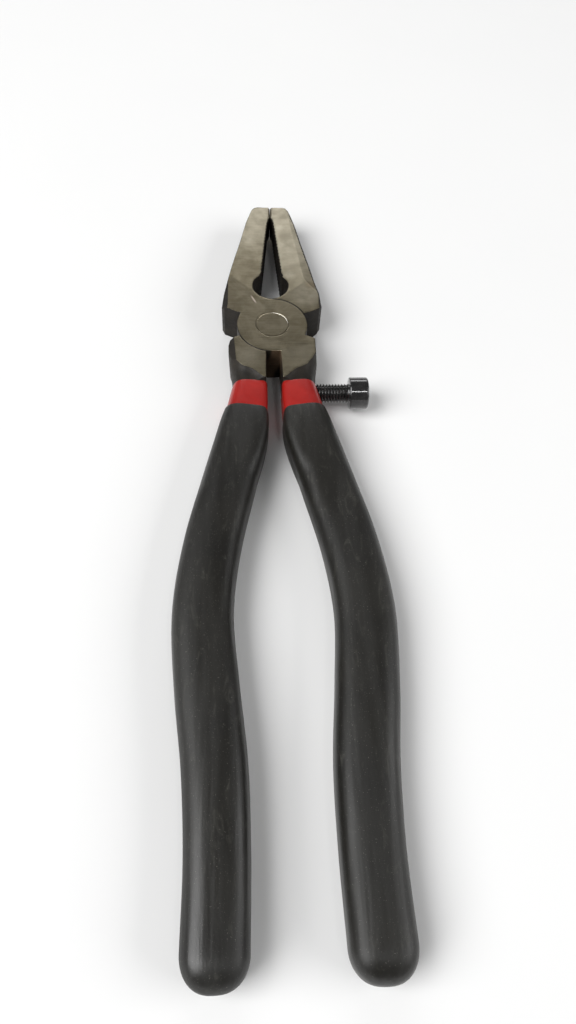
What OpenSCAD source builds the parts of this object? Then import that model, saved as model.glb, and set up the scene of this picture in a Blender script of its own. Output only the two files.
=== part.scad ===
// Glass breaking pliers: two equal forged levers on a flush rivet, jaws that close at their tips only,
// dipped handles in two colours, and a stop screw across one handle.
// The pivot axis is Z, the jaws point along +Y, and the tool lies flat on z = 0. Sizes are in mm.

/* [Head] */
// Thickness of the head over its ground faces
head_t = 11; // [10.5:0.1:11.5]
// Radius of the half-thickness disc of each lever
disc_r = 9.6; // [9.4:0.1:9.8]
// Radial gap between a disc and the seat that it turns in
seat_gap = 0.15; // [0.1:0.05:0.2]
// Gap between the two discs' faces
face_gap = 0.1; // [0.06:0.02:0.14]
// Radius of the round hole behind the jaws
hole_r = 5.05; // [4.9:0.05:5.2]
// Distance from the pivot to the centre of that hole
hole_y = 15; // [14.6:0.1:15.2]
// Distance from the pivot to the tips of the jaws
jaw_len = 50.2; // [49.4:0.2:51]
// Angle of the jaws' shoulders above the X axis
jaw_shoulder = 25.5; // [25:0.5:27]
// Angle of the handles' shoulders below the X axis
neck_shoulder = 23.5; // [23:0.5:25]
// Width of the slot between the necks at its end wall
slot_w = 3.9; // [3.7:0.1:4.1]
// Width of that slot where the dips start
slot_mouth_w = 4.4; // [4.3:0.1:4.5]
// Distance from the pivot to the end wall of that slot
slot_y = 9.5; // [9.3:0.1:9.6]

/* [Jaws] */
// How far both jaws lean towards +X
jaw_lean = 1.1; // [0.9:0.1:1.2]
// Length of the lips that meet at the tips
lip_len = 4.6; // [4:0.2:5.2]
// Gap between the lips when the jaws are closed
lip_gap = 0.1; // [0.06:0.02:0.2]
// Distance along the jaw from one serration to the next
tooth_pitch = 1.4; // [1.2:0.1:1.6]
// Depth of the serrations
tooth_depth = 0.2; // [0.1:0.05:0.4]
// How much each face falls away from the joint to the tip
tip_fall = 1.4; // [1:0.1:1.8]
// How steeply the bevel along a jaw's outer edge falls
bevel_angle = 13; // [10:1:20]

/* [Rivet] */
// Radius of the rivet's shank
shank_r = 3.2; // [3:0.1:3.5]
// Radius of the rivet's flush heads
rivet_head_r = 4.4; // [4.2:0.1:4.6]
// Depth of each flush head
rivet_head_t = 1.6; // [1.4:0.1:2]
// Radial gap round the rivet in the lever that turns on it
pin_gap = 0.05; // [0.03:0.01:0.08]

/* [Handles] */
// Thickness of the forged handle inside its dips
tang_t = 8.9; // [8.6:0.1:9.2]
// Thickness of the first, coloured dip
under_dip = 0.4; // [0.3:0.05:0.5]
// Thickness of the second dip on the handle's sides
over_dip = 0.8; // [0.6:0.1:1]
// Distance from the pivot to the first dip's edge
under_dip_y = 18.8; // [18.7:0.1:19.4]
// Distance from the pivot to the second dip's edge
over_dip_y = 27.2; // [26.5:0.1:28]
// Distance from the pivot to the end of the handles
handle_len = 156.3; // [154:0.1:158]

/* [Stop screw] */
// Nominal radius of the screw's thread
screw_r = 2.5; // [2.4:0.05:2.5]
// Pitch of the thread
screw_pitch = 0.8; // [0.7:0.1:0.8]
// Length of the thread under the head
screw_len = 16; // [14:1:18]
// Radius of the screw's head
screw_head_r = 4.25; // [4:0.05:4.4]
// Height of the screw's head
screw_head_t = 5; // [4.6:0.1:5.2]
// Width across the flats of the hexagon socket
socket_af = 4; // [3.8:0.1:4.2]
// Distance from the pivot to the screw's axis
screw_y = 19.8; // [19.6:0.1:20.2]
// Distance from the tool's centre line to the underside of the screw's head
screw_x = 19.9; // [19:0.1:21]

/* [Hidden] */

steel = [0.62, 0.60, 0.54];
rivet_steel = [0.66, 0.64, 0.58];
red = [0.68, 0.13, 0.12];
near_black = [0.16, 0.15, 0.14];
black_oxide = [0.10, 0.10, 0.11];

$fn = 96;
mid_z = head_t / 2;
seat_r = disc_r + seat_gap;
tooth_start = 21;
lip_y = jaw_len - lip_len;
// Length of the step from the serrations to the lips
lip_step = 1.2;
// The jaw's shoulders and the neck's shoulders run out to these distances from the pivot
jaw_shoulder_r = 14.6;
neck_shoulder_r = 12.6;
// How far the disc reaches under the shoulders
overlap = 0.2;
// How far cutting tools run past the faces that they cut
past = 1;
// Chamfers at the screw's tip and round its head, and the depth of its socket
screw_tip = 0.6;
screw_head_edge = 0.5;
socket_depth = 2.5;

// Outer edge of a jaw above its shoulder, as half-widths at distances from the pivot
jaw_edge = [[13.9, 7.4], [13.4, 12], [12.25, 17.6], [10.9, 24.6], [9, 33.5], [7.3, 42.4], [6.2, 46.6]];
// The rounded outer corner at a jaw's tip, as half-widths at distances back from the tip
tip_corner = [[5.5, 1.4], [4.7, 0.4], [3.8, 0]];
// Outer edge of a neck below its shoulder
neck_edge = [[12, -6.5], [12, -9], [11.7, -12], [11.2, -15], [10.8, -18.6]];
// Lines on a lever's disc face and on its other face where the ground jaw ends and the forged flank starts
disc_cheek = [[12.25, 4], [12.2, 18]];
other_cheek = [[13.2, 4], [13.1, 14]];
// The same for the neck, which on the disc face keeps its width and only leans in with the forging's draft
disc_flank = [[11.4, -14], [11.4, -3]];
other_flank = [[9.8, -14], [10.6, -3]];
flank_angle = 38;
draft_angle = 85;
// Half-gap between the jaws at the serrations' two ends
gap_start = 2.75;
gap_end = 0.65;
// Where the serrated edge turns in to the round hole
throat = [3.4, 19.2];

// The line on the faces where the ground head ends and the forged neck falls away
fall_line = [[2.1, -18.5], [11.2, -12]];
fall_angle = 35;
// The crease where a jaw's face starts to fall, the ridge between that face and the outer bevel, and
// how far along and across the ridge the bevel is cut, and how much its lower end leans outwards
crease = [[5, 12.6], [9.3, 16.6]];
crease_run = 26;
ridge = [[9.3, 16.6], [5.2, 47.5]];
bevel_size = [60, 42];
bevel_skew = 50;

// Centre line and width of the forged handle at even steps from the pivot
step_y = 17;
start_y = -15;
centre_x = [6.98, 6.28, 8.28, 12.3, 16.2, 18.2, 17.2, 15.5, 15, 15.4, 15.6];
centre_w = [6.95, 8.35, 10.65, 11, 11.2, 11.4, 11.6, 11.3, 10.7, 10.6, 10.6];
sides = 16;
squareness = 2.8;
// The handle's inner side is squarer above square_end and squarest above square_start
inner_squareness = 7;
square_start = -26;
square_end = -46;
ring_step = 6;
// The rounded end of a handle: its length, how many sections it has, how far round they go, its bluntness
end_len = 6.5;
end_steps = 5;
end_turn = 88;
end_bluntness = 0.8;
// How much thinner a dip is at its upper edge, and how far below the edge it reaches a third of that
under_dip_lead = 0.2;
over_dip_lead = 0.45;
lead_len = 1.5;

// Smooth curve through values that stand at even steps
function eased(v, i, t) = 0.5 * (2 * v[i] + (v[i + 1] - v[i - 1]) * t
    + (2 * v[i - 1] - 5 * v[i] + 4 * v[i + 1] - v[i + 2]) * t * t
    + (3 * v[i] - v[i - 1] - 3 * v[i + 1] + v[i + 2]) * t * t * t);
function along(v, y) =
    let (s = (start_y - y) / step_y, i = max(0, min(floor(s), len(v) - 4)))
    eased(v, i + 1, s - i);
function slope(y) = (along(centre_x, y - 0.5) - along(centre_x, y + 0.5)) / -1;

// One closed section of a handle, square to its centre line
function corner(c, n) = sign(c) * pow(abs(c), 2 / n);
function inner_square(y) =
    squareness + (inner_squareness - squareness)
    * max(0, min(1, (y - square_end) / (square_start - square_end)));
function section(y, side, face, scale) =
    let (m = slope(y), n = [1, -m] / sqrt(1 + m * m),
         a = (along(centre_w, y) / 2 + side) * scale, b = (tang_t / 2 + face) * scale)
    [for (j = [0 : sides - 1])
        let (q = 360 * j / sides, square = cos(q) < 0 ? inner_square(y) : squareness,
             across = a * corner(cos(q), square))
        [along(centre_x, y) + n[0] * across, y + n[1] * across, mid_z + b * corner(sin(q), square)]];

// A handle's solid from first_y to last_y, grown by side and face, with a rounded end
module handle_solid(first_y, last_y, side, face, lead) {
    straight_end = last_y + end_len;
    count = ceil((first_y - straight_end) / ring_step);
    even = [for (i = [0 : count]) first_y - (first_y - straight_end) * i / count];
    rings = concat(
        [section(first_y, side - lead, face - lead, 1)],
        [section(first_y - lead_len, side - lead / 3, face - lead / 3, 1)],
        [for (i = [1 : count]) section(even[i], side, face, 1)],
        [for (i = [1 : end_steps])
            let (q = end_turn * i / end_steps)
            section(straight_end - end_len * sin(q), side, face, pow(cos(q), end_bluntness))]);
    last = len(rings) - 1;
    polyhedron(
        points = [for (r = rings) each r],
        faces = concat(
            [[for (j = [0 : sides - 1]) j]],
            [for (i = [0 : last - 1], j = [0 : sides - 1])
                let (k = (j + 1) % sides)
                each [[i * sides + j, (i + 1) * sides + j, (i + 1) * sides + k],
                      [i * sides + j, (i + 1) * sides + k, i * sides + k]]],
            [[for (j = [sides - 1 : -1 : 0]) last * sides + j]]));
}

module tang() {
    handle_solid(start_y, -(handle_len - under_dip - over_dip), 0, 0, 0);
}

module under_dip_solid() {
    handle_solid(-under_dip_y, -(handle_len - over_dip), under_dip, under_dip, under_dip_lead);
}

module over_dip_solid() {
    handle_solid(-over_dip_y, -handle_len, under_dip + over_dip, (head_t - tang_t) / 2, over_dip_lead);
}

// Outline of a jaw on the +X side, from its shoulder to its tip and back down its serrated inner edge
module jaw_outline() {
    last = lip_y - lip_step;
    teeth = floor((last - tooth_start) / tooth_pitch);
    tooth_slope = (gap_end - gap_start) / (last - tooth_start);
    serrated = [for (i = [teeth - 1 : -1 : 0])
        let (y = tooth_start + i * tooth_pitch, x = gap_start + tooth_slope * i * tooth_pitch)
        each [[x + tooth_slope * tooth_pitch, y + tooth_pitch], [x + tooth_depth, y + tooth_pitch / 2]]];
    shoulder = [cos(jaw_shoulder), sin(jaw_shoulder)];
    polygon(concat(
        [[0, 0], (disc_r - overlap) * shoulder, jaw_shoulder_r * shoulder],
        jaw_edge,
        [for (p = tip_corner) [p[0], jaw_len - p[1]]],
        [[lip_gap / 2, jaw_len], [lip_gap / 2, lip_y], [gap_end, last]],
        serrated,
        [[gap_start, tooth_start], throat, [0, hole_y]]));
}

// Outline of a neck on the +X side, from its shoulder to where the round handle takes over
module neck_outline() {
    shoulder = [cos(neck_shoulder), -sin(neck_shoulder)];
    polygon(concat(
        [[0, 0], (disc_r - overlap) * shoulder, neck_shoulder_r * shoulder],
        neck_edge,
        [[0, neck_edge[4][1]]]));
}

// Half-space above a plane that leaves the top face along the line a to b and falls to its right
module fall_cut(a, b, angle) {
    d = b - a;
    translate([a[0], a[1], head_t])
    rotate([0, 0, atan2(d[1], d[0])])
    rotate([angle, 0, 0])
    translate([-jaw_len, -jaw_len, 0])
    cube([2 * jaw_len, jaw_len, head_t]);
}

// The outer bevel of a jaw on the +X side, on its top face
module bevel_cut() {
    d = ridge[1] - ridge[0];
    translate([ridge[0][0], ridge[0][1], head_t])
    rotate([0, 0, atan2(d[1], d[0])])
    rotate([0, atan(tip_fall / norm(d)), 0])
    rotate([bevel_angle, 0, 0])
    rotate([0, 0, bevel_skew])
    translate([0, -bevel_size[1], 0])
    cube([bevel_size[0], bevel_size[1], head_t]);
}

// A cut that is made for the top face, brought to the bottom face
module other_face() {
    translate([0, 0, head_t])
    mirror([0, 0, 1])
    children();
}

module on_both_faces() {
    children();
    other_face()
    children();
}

module left_side() {
    mirror([1, 0, 0])
    children();
}

// Turns a lever half round the tool's length, which makes the one lever the other
module other_way_up() {
    translate([0, 0, head_t])
    rotate([0, 180, 0])
    children();
}

// The rivet's holes, which the turning lever has a little wider
module rivet_holes(gap) {
    translate([0, 0, -past])
    cylinder(r = shank_r + gap, h = head_t + 2 * past);
    on_both_faces()
    translate([0, 0, head_t - rivet_head_t - gap])
    cylinder(r = rivet_head_r + gap, h = rivet_head_t + past);
}

// Slot between the necks, a little wider at its mouth
module slot_cut() {
    translate([0, 0, -past])
    linear_extrude(head_t + 2 * past)
    polygon([[-slot_w / 2, -slot_y], [slot_w / 2, -slot_y], [slot_mouth_w / 2, -under_dip_y],
             [-slot_mouth_w / 2, -under_dip_y]]);
}

// A lever with its disc in the top half, its jaw at -X and its handle at +X
module lever(gap, lean) {
    difference() {
        union() {
            rotate([0, 0, lean])
            difference() {
                left_side()
                linear_extrude(head_t)
                jaw_outline();
                left_side()
                on_both_faces()
                fall_cut(crease[1], crease[0], atan(tip_fall / crease_run));
                left_side()
                fall_cut(disc_cheek[0], disc_cheek[1], flank_angle);
                left_side()
                other_face()
                fall_cut(other_cheek[0], other_cheek[1], flank_angle);
                left_side()
                other_face()
                bevel_cut();
            }
            difference() {
                linear_extrude(head_t)
                neck_outline();
                on_both_faces()
                fall_cut(fall_line[0], fall_line[1], fall_angle);
                fall_cut(disc_flank[0], disc_flank[1], draft_angle);
                other_face()
                fall_cut(other_flank[0], other_flank[1], flank_angle);
            }
            translate([0, 0, mid_z])
            cylinder(r = disc_r, h = mid_z);
            tang();
        }
        translate([0, hole_y, -past])
        cylinder(r = hole_r, h = head_t + 2 * past);
        // Seat for the other lever's disc
        translate([0, 0, -past])
        cylinder(r = seat_r, h = past + mid_z + face_gap / 2);
        slot_cut();
        rivet_holes(gap);
    }
}

module screw_bore(clearance) {
    translate([0, -screw_y, mid_z])
    rotate([0, 90, 0])
    cylinder(r = screw_r + clearance, h = screw_x - past);
}

module front_lever() {
    color(steel)
    difference() {
        lever(0, -jaw_lean);
        screw_bore(pin_gap);
    }
}

module back_lever() {
    color(steel)
    other_way_up()
    lever(pin_gap, jaw_lean);
}

module pivot_rivet() {
    color(rivet_steel)
    union() {
        cylinder(r = shank_r, h = head_t);
        on_both_faces()
        translate([0, 0, head_t - rivet_head_t])
        cylinder(r = rivet_head_r, h = rivet_head_t);
    }
}

module right_under_dip() {
    color(red)
    difference() {
        under_dip_solid();
        tang();
        screw_bore(under_dip);
    }
}

module left_under_dip() {
    color(red)
    left_side()
    difference() {
        under_dip_solid();
        tang();
    }
}

module grip() {
    difference() {
        over_dip_solid();
        under_dip_solid();
    }
}

module right_grip() {
    color(near_black)
    grip();
}

module left_grip() {
    color(near_black)
    left_side()
    grip();
}

// Half of the screw's outline, with one groove for each turn of its thread
module screw_outline() {
    turns = floor((screw_len - screw_tip) / screw_pitch);
    root_r = screw_r - 0.61 * screw_pitch;
    polygon(concat(
        [[0, -screw_len], [screw_r - screw_tip, -screw_len], [screw_r, -screw_len + screw_tip]],
        [for (i = [0 : turns - 1])
            let (x = -screw_len + screw_tip + i * screw_pitch)
            each [[screw_r, x + screw_pitch / 8], [root_r, x + screw_pitch / 2],
                  [root_r, x + 5 * screw_pitch / 8], [screw_r, x + screw_pitch]]],
        [[screw_r, 0], [screw_head_r, 0], [screw_head_r, screw_head_t - screw_head_edge],
         [screw_head_r - screw_head_edge, screw_head_t], [0, screw_head_t]]));
}

module stop_screw() {
    color(black_oxide)
    translate([screw_x, -screw_y, mid_z])
    rotate([0, 90, 0])
    difference() {
        rotate_extrude()
        screw_outline();
        translate([0, 0, screw_head_t - socket_depth])
        cylinder(r = socket_af / 2 / cos(30), h = socket_depth + past, $fn = 6);
    }
}

front_lever();
back_lever();
pivot_rivet();
right_under_dip();
left_under_dip();
right_grip();
left_grip();
stop_screw();
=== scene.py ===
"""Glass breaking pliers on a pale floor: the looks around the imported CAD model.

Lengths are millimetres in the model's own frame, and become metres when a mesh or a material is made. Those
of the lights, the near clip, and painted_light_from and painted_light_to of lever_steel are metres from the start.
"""

import math

import bpy
import numpy as np
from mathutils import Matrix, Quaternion, Vector


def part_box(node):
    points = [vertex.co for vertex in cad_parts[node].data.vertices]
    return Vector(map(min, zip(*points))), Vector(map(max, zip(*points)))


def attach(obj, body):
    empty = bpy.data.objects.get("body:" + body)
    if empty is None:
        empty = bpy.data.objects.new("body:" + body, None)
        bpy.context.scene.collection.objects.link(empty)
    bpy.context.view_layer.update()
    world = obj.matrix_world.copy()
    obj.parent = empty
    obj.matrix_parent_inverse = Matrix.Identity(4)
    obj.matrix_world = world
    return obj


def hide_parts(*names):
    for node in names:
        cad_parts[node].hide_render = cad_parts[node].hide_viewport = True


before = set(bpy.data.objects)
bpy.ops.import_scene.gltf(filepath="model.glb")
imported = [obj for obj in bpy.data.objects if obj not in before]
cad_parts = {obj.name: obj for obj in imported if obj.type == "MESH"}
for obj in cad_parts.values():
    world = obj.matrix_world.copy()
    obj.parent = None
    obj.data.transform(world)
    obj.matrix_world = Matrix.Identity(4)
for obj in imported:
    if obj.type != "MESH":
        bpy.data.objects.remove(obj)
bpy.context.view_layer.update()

MM = 0.001

# ---------------------------------------------------------------- the tool's dimensions, as in part.scad

HEAD_T = 11.0
MID_Z = HEAD_T / 2
DISC_R = 9.6
FACE_GAP = 0.1
HOLE_R = 5.05
HOLE_Y = 15.0
JAW_LEN = 50.2
JAW_SHOULDER = 25.5
JAW_SHOULDER_R = 14.6
NECK_SHOULDER = 23.5
NECK_SHOULDER_R = 12.6
OVERLAP = 0.2
PAST = 1.0
SLOT_W = 3.9
SLOT_MOUTH_W = 4.4
SLOT_Y = 9.5
JAW_LEAN = 1.1
LIP_LEN = 4.6
LIP_GAP = 0.1
LIP_STEP = 1.2
TOOTH_PITCH = 1.4
TOOTH_DEPTH = 0.2
TOOTH_START = 21.0
GAP_START = 2.75
GAP_END = 0.65
TIP_FALL = 1.4
CREASE_RUN = 26.0

SHANK_R = 3.2
RIVET_HEAD_R = 4.4
RIVET_HEAD_T = 1.6
PIN_GAP = 0.05

TANG_T = 8.9
UNDER_DIP = 0.4
OVER_DIP = 0.8
UNDER_DIP_Y = 18.8
OVER_DIP_Y = 27.2
HANDLE_LEN = 156.3
SQUARENESS = 2.8
INNER_SQUARENESS = 7.0
SQUARE_START = -26.0
SQUARE_END = -46.0
END_LEN = 6.5
END_TURN = 88.0
END_BLUNTNESS = 0.8

SCREW_R = 2.5
SCREW_PITCH = 0.8
SCREW_LEN = 16.0
SCREW_HEAD_R = 4.25
SCREW_HEAD_T = 5.0
SOCKET_AF = 4.0
SOCKET_DEPTH = 2.5
SCREW_Y = 19.8
SCREW_X = 19.9

JAW_EDGE = [(13.9, 7.4), (13.4, 12), (12.25, 17.6), (10.9, 24.6), (9, 33.5), (7.3, 42.4), (6.2, 46.6)]
TIP_CORNER = [(5.5, 1.4), (4.7, 0.4), (3.8, 0)]
THROAT = (3.4, 19.2)
NECK_EDGE = [(12, -6.5), (12, -9), (11.7, -12), (11.2, -15), (10.8, -18.6)]
FALL_LINE = ((2.1, -18.5), (11.2, -12))
FALL_ANGLE = 35.0
DISC_CHEEK = ((12.25, 4), (12.2, 18))
OTHER_CHEEK = ((13.2, 4), (13.1, 14))
DISC_FLANK = ((11.4, -14), (11.4, -3))
OTHER_FLANK = ((9.8, -14), (10.6, -3))
FLANK_ANGLE = 38.0
DRAFT_ANGLE = 85.0
CREASE = ((9.3, 16.6), (5, 12.6))
RIDGE = ((9.3, 16.6), (5.2, 47.5))
BEVEL_ANGLE = 13.0

STEP_Y = 17.0
START_Y = -15.0
CENTRE_X = np.array([6.98, 6.28, 8.28, 12.3, 16.2, 18.2, 17.2, 15.5, 15, 15.4, 15.6])
CENTRE_W = np.array([6.95, 8.35, 10.65, 11, 11.2, 11.4, 11.6, 11.3, 10.7, 10.6, 10.6])

# ---------------------------------------------------------------- fine shape that only the looks have

SEAT_GAP = 0.11  # between a disc and its seat, a little less than in part.scad
SEAT_R = DISC_R + SEAT_GAP

# The outer bevel runs out towards the shoulder along this line
BEVEL_END = ((12.6, 12.8), (9.3, 16.6))
BEVEL_END_STEEP = 0.5  # how much it falls for each millimetre beyond the line
BEVEL_END_EDGE = 0.8  # the rounding along it

# Roundings of a lever's edges
EDGE = 0.2  # along its outline
FINE_EDGE = 0.12  # round its disc and its seat
SLIGHT_EDGE = 0.06  # inside its slot
HAIR_EDGE = 0.02  # round its rivet hole
FORGED_EDGE = 3.0  # on its neck's outer side
TANG_FILLET = 1.2  # where the neck meets the tang
SLOT_EDGE_RUN = (1.0, 3.0)  # heights off the middle between which the slot's rounding grows to EDGE

# The waves in the line where a neck falls away
FALL_WAVE = 0.28
FALL_WAVE_LEN = 5.2
FALL_WAVE_PHASE = 1.0

LIP_CHAMFER = 0.5  # width of the chamfers where the lips meet
GROUND_RIM = 0.05  # how far the bright grinding reaches down a ground face's edge
DARK_RIM = 0.35  # width of the dark line along the outer edge of the bevelled face

# The grid on which the levers' surfaces are found, shifted so that no line of it lies in a flat face
GRID = 0.25
GRID_X = (-14.6, 24.6)
COARSE_Y = (-156.4, -31.0, 70)  # start, end and number of the lines along the hidden handle
FINE_Y = (-30.5, JAW_LEN + 0.6)
GRID_Z = (-MID_Z - 0.4, MID_Z + 0.5)
GRID_SHIFT = (0.013, 0.017, 0.011)
SLOPE_STEP = 0.01  # half the way over which a field's slope is taken
CENTRE_PULL = 0.08  # how strongly a vertex is held to the middle of its cell's crossings

DIP_SIDES = 72
SKIN_BITE = 0.03  # how far a dip's inner skin is sunk into the layer below
DROP_FADE = 6.0  # length along the handle in which the lean of a dip's edge fades to about a third
THIN_FADE = 3.5  # length in which its thinness at the edge does
# A dip's sections are crowded towards its edge, then even, and then go round its end
NEAR_RUN = 12.0
NEAR_SECTIONS = 9
NEAR_CROWDING = 1.5
FAR_START = 13.5
FAR_SECTIONS = 80
END_SECTIONS = 15
DIP_LIP = 0.2  # height of the rounded lip on a dip's edge
DIP_LIP_TURNS = (15, 30, 45, 60, 75)
DIP_HOLE_GAP = 0.15  # how much further off the stop screw the red dip stands than the steel does
DIP_HOLE = (0.5, SCREW_X - PAST)  # start and end along X of the cut for it

ROUND_SIDES = 96
RIVET_SIDES = 128
SHARP = 50.0  # angle in degrees from which an edge is shaded sharp
SCREW_SHARP = 40.0  # the same on the stop screw

THREAD_DEPTH = 0.61  # in pitches
THREAD_FLANK = 2.3  # how many times its depth a flank rises in a pitch
CREST_GAP = 0.02  # how far the crests lie inside SCREW_R
RUN_OUT = 0.9  # length under the head in which the thread runs out
TIP_CHAMFER = 0.7  # how far the chamfer on the tip starts inside SCREW_R
TIP_R = 1.5  # radius of the tip's flat end
THREAD_STEP = 0.1  # between the rings along the thread

# The foot of the screw's head, as (height above its underside, distance in from its radius)
SCREW_FOOT = [(0, 0.25), (0.05, 0.1), (0.25, 0), (0.3, 0)]
SCREW_EDGE = 0.6  # rounding of the head's upper edge
SCREW_EDGE_STEPS = 6
SCREW_EDGE_GUARD = 0.65  # depth of the ring that keeps the shading below that edge straight
SOCKET_FACE_R = 3.0  # the ring round the socket on the head's face
SOCKET_CHAMFER = 0.2
SOCKET_RINGS = (SOCKET_CHAMFER, 1.4, SOCKET_DEPTH)  # depths of the rings on the socket's walls
SOCKET_POINT = [(2.6, 1.6), (2.9, 0.4)]  # (depth, radius) of the drill point under it

RIVET_FOOT = 0.1  # rounding of the foot of a rivet's head
RIVET_BREAK = (0.02, 0.03)  # the broken edge of a rivet's head, down its side and in from its edge
RIVET_RINGS = (RIVET_HEAD_R - RIVET_BREAK[1], RIVET_HEAD_R - 0.4, 2.0, 0.3)  # radii on its flat face


# ---------------------------------------------------------------- shape functions

def kept_inside(vertices, node):
    """Vertices held inside a CAD node's own box, which takes off the last microns of overshoot."""
    low, high = (np.array(corner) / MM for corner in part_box(node))
    return np.clip(vertices, low, high)


def step_up(low, high, value):
    """0 below low, 1 above high, and smooth between them."""
    t = np.clip((value - low) / (high - low), 0, 1)
    return t * t * (3 - 2 * t)


def along(values, y):
    """Smooth curve through values that stand STEP_Y apart along the handle, read at distances y."""
    s = (START_Y - np.asarray(y, float)) / STEP_Y
    i = np.clip(np.floor(s), 0, len(values) - 4).astype(int)
    t = s - i
    a, b, c, d = values[i], values[i + 1], values[i + 2], values[i + 3]
    return 0.5 * (2 * b + (c - a) * t + (2 * a - 5 * b + 4 * c - d) * t**2
                  + (3 * b - a - 3 * c + d) * t**3)


def slope(y):
    """How much the handle's centre line moves along X for each millimetre along Y."""
    return along(CENTRE_X, y + 0.5) - along(CENTRE_X, y - 0.5)


def polygon_distance(points, x, y):
    """Signed distance from a closed outline, negative inside it."""
    p = np.array(points, float)
    q = np.roll(p, -1, axis=0)
    nearest = np.full(np.broadcast(x, y).shape, np.inf)
    inside = np.zeros(nearest.shape, bool)
    for (ax, ay), (bx, by) in zip(p, q):
        ex, ey = bx - ax, by - ay
        t = np.clip(((x - ax) * ex + (y - ay) * ey) / (ex * ex + ey * ey), 0, 1)
        nearest = np.minimum(nearest, (x - ax - t * ex) ** 2 + (y - ay - t * ey) ** 2)
        if ay != by:
            crosses = (ay > y) != (by > y)
            inside ^= crosses & (x < ax + (y - ay) * ex / ey)
    return np.where(inside, -1, 1) * np.sqrt(nearest)


def beyond(line, x, y):
    """Signed distance to the right of a directed line in the plan."""
    (ax, ay), (bx, by) = line
    dx, dy = bx - ax, by - ay
    run = math.hypot(dx, dy)
    return ((x - ax) * dy - (y - ay) * dx) / run


def rounded_max(a, b, radius):
    """The larger of two distances, with the edge where they meet rounded off."""
    h = np.maximum(radius - np.abs(a - b), 0) / radius
    return np.maximum(a, b) + h * h * radius / 4


def rounded_min(a, b, radius):
    """The smaller of two distances, with a fillet where they meet."""
    return -rounded_max(-a, -b, radius)


def at_angle(radius, degrees):
    """A point in the plan at a distance from the pivot, at an angle from +X."""
    return (radius * math.cos(math.radians(degrees)), radius * math.sin(math.radians(degrees)))


def jaw_outline():
    """A jaw at +X: shoulder, outer edge, tip, lip and serrated inner edge."""
    lip_y = JAW_LEN - LIP_LEN
    last = lip_y - LIP_STEP
    teeth = int((last - TOOTH_START) / TOOTH_PITCH)
    lean_in = (GAP_END - GAP_START) / (last - TOOTH_START)
    serrated = []
    for i in reversed(range(teeth)):
        y = TOOTH_START + i * TOOTH_PITCH
        x = GAP_START + lean_in * i * TOOTH_PITCH
        serrated.append((x + lean_in * TOOTH_PITCH, y + TOOTH_PITCH))
        serrated.append((x + TOOTH_DEPTH, y + TOOTH_PITCH / 2))
    corner = [(x, JAW_LEN - back) for x, back in TIP_CORNER]
    return [(0, 0), at_angle(DISC_R - OVERLAP, JAW_SHOULDER), at_angle(JAW_SHOULDER_R, JAW_SHOULDER),
            *JAW_EDGE, *corner, (LIP_GAP / 2, JAW_LEN), (LIP_GAP / 2, lip_y), (GAP_END, last), *serrated,
            (GAP_START, TOOTH_START), THROAT, (0, HOLE_Y)]


def neck_outline():
    """A neck at +X, from its shoulder to where the round handle takes over."""
    return [(0, 0), at_angle(DISC_R - OVERLAP, -NECK_SHOULDER), at_angle(NECK_SHOULDER_R, -NECK_SHOULDER),
            *NECK_EDGE, (0, NECK_EDGE[-1][1])]


def fallen(line, degrees, x, y, depth):
    """Signed distance from a plane that leaves a face along a line and falls to the line's right."""
    tilt = math.radians(degrees)
    return beyond(line, x, y) * math.sin(tilt) - depth * math.cos(tilt)


def in_jaw(x, y, lean):
    """Distances across and along the jaw at -X, which leans by some degrees."""
    c, s = math.cos(math.radians(lean)), math.sin(math.radians(lean))
    return -(c * x + s * y), -s * x + c * y


def ground_depth(u, v, z):
    """How far a jaw's ground face lies below the head's faces. The other face also has the outer bevel."""
    fall = np.maximum(beyond(CREASE, u, v), 0) * TIP_FALL / CREASE_RUN
    bevel = beyond(RIDGE, u, v) * math.tan(math.radians(BEVEL_ANGLE))
    bevel = bevel + (v - RIDGE[0][1]) * TIP_FALL / math.dist(*RIDGE)
    bevel = rounded_min(bevel, BEVEL_END_STEEP * beyond(BEVEL_END, u, v), BEVEL_END_EDGE)
    return np.where(z < 0, np.maximum(fall, bevel), fall)


def jaw_field(x, y, z, lean):
    """The jaw at -X. z counts from the middle of the head's thickness, towards the disc's face."""
    u, v = in_jaw(x, y, lean)
    depth = MID_Z - np.abs(z)
    face = ground_depth(u, v, z)
    lips = (LIP_CHAMFER - u + face - depth - np.maximum(JAW_LEN - LIP_LEN - v, 0)) / math.sqrt(2)
    faces = np.maximum(face - depth, lips)
    faces = np.maximum(faces, fallen(DISC_CHEEK, FLANK_ANGLE, u, v, MID_Z - z))
    faces = np.maximum(faces, fallen(OTHER_CHEEK, FLANK_ANGLE, u, v, MID_Z + z))
    return rounded_max(polygon_distance(jaw_outline(), u, v), faces, EDGE)


def neck_field(x, y, z):
    """The neck at +X: ground on both faces down to its fall line, with a round forged outer side below."""
    depth = MID_Z - np.abs(z)
    faces = np.maximum(-depth, fallen(DISC_FLANK, DRAFT_ANGLE, x, y, MID_Z - z))
    faces = np.maximum(faces, fallen(OTHER_FLANK, FLANK_ANGLE, x, y, MID_Z + z))
    outline = polygon_distance(neck_outline(), x, y)
    edge_x, edge_y = np.array(NECK_EDGE[::-1]).T
    outer_side = x - np.interp(y, edge_y, edge_x)
    wave = FALL_WAVE * np.sin(2 * math.pi * x / FALL_WAVE_LEN + FALL_WAVE_PHASE)
    forged = rounded_max(fallen(FALL_LINE, FALL_ANGLE, x, y - wave, depth), outer_side, FORGED_EDGE)
    return np.maximum(rounded_max(outline, faces, EDGE), forged)


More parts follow.
